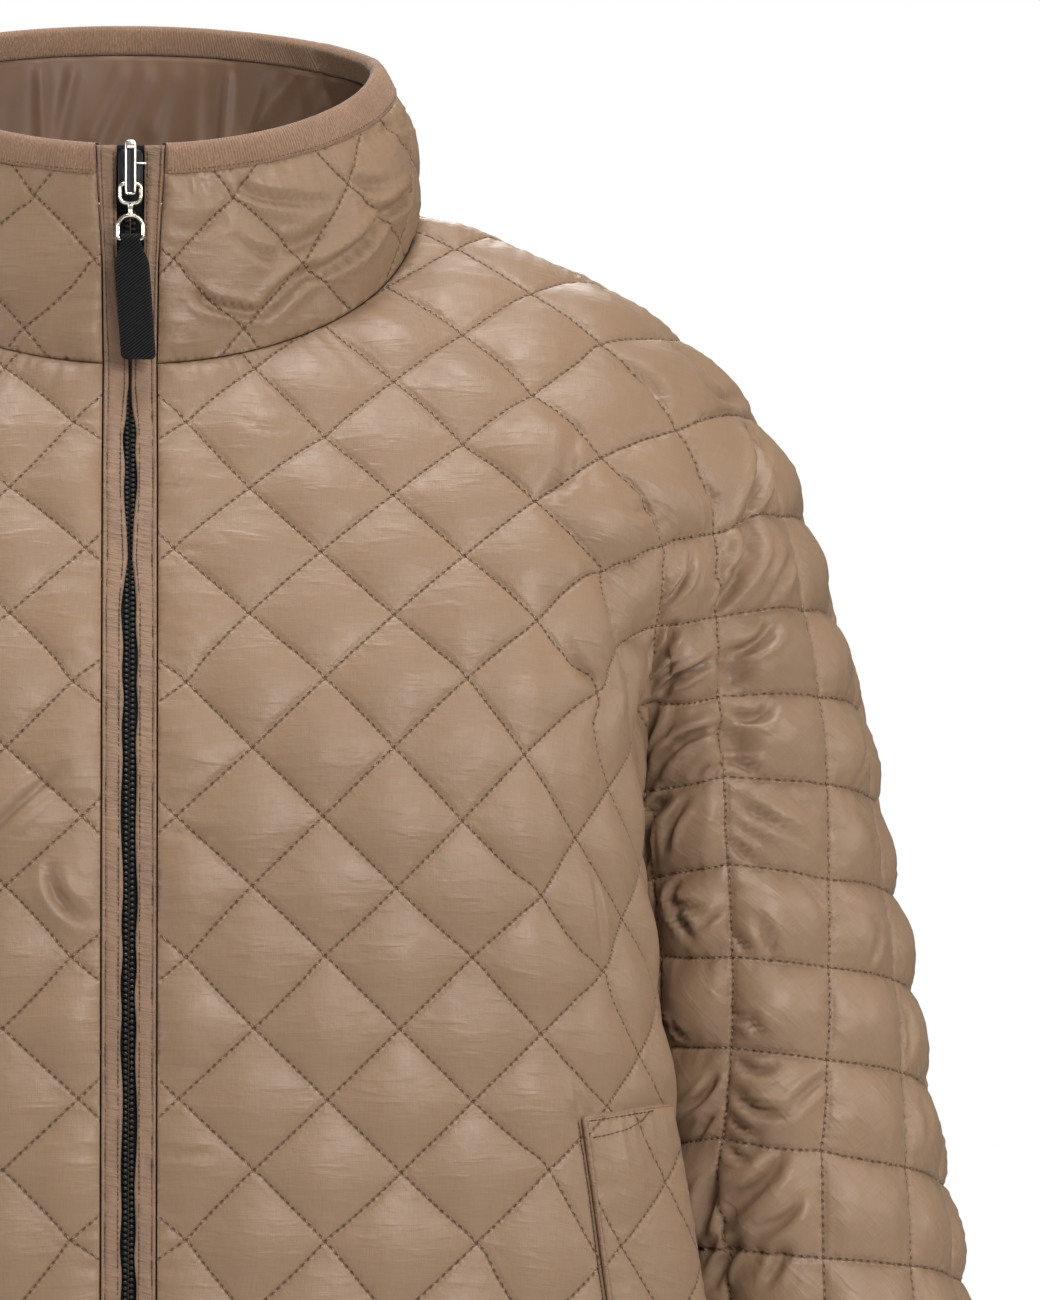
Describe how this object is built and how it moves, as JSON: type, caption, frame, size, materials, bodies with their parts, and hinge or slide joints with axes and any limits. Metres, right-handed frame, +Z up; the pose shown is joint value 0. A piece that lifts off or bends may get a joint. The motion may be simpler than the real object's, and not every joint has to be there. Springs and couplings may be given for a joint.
{
  "type": "quilted cape jacket",
  "caption": "Diamond-quilted cape jacket with cape sleeves cut in one with the fronts, stand collar, front zip and pocket welts, hollow and filled out as worn.",
  "frame": {"origin": "middle of the neck at the height of the side neck point, where the garment hangs on the wearer's shoulders", "axes": "+Z up, the front faces -Y, the wearer's left is +X"},
  "size_m": [0.6958, 0.28, 0.7205],
  "materials": {
    "quilted_nylon": "soft-sheen warm beige nylon, diamond quilted over thin wadding with tonal stitching",
    "placket_nylon": "matt beige nylon strip with a double row of stitching",
    "ribbed_binding": "fine ribbed elastic, beige, matt",
    "satin_lining": "darker beige satin, soft creases",
    "black_tape": "black woven zip tape and black moulded teeth",
    "pale_gold_metal": "polished pale gold plating on zinc",
    "black_webbing": "black twill-woven strap"
  },
  "bodies": {
    "garment": {"back": "quilted_nylon", "front_left": "quilted_nylon", "front_right": "quilted_nylon", "collar": "quilted_nylon", "collar_lining": "satin_lining", "collar_binding": "ribbed_binding", "placket_left": "placket_nylon", "placket_right": "placket_nylon", "zip_tape_left": "black_tape", "zip_tape_right": "black_tape", "pocket_welt_left": "quilted_nylon", "pocket_welt_right": "quilted_nylon", "zip_slider": "pale_gold_metal"},
    "pull": {"zip_pull": "pale_gold_metal", "pull_strap": "black_webbing"}
  },
  "joints": [
    {"name": "pull_swing", "type": "hinge", "parent": "garment", "child": "pull", "pos_m": [0, -0.0958, 0.002], "axis": [-1, 0, 0], "range_deg": [0, 130]}
  ]
}
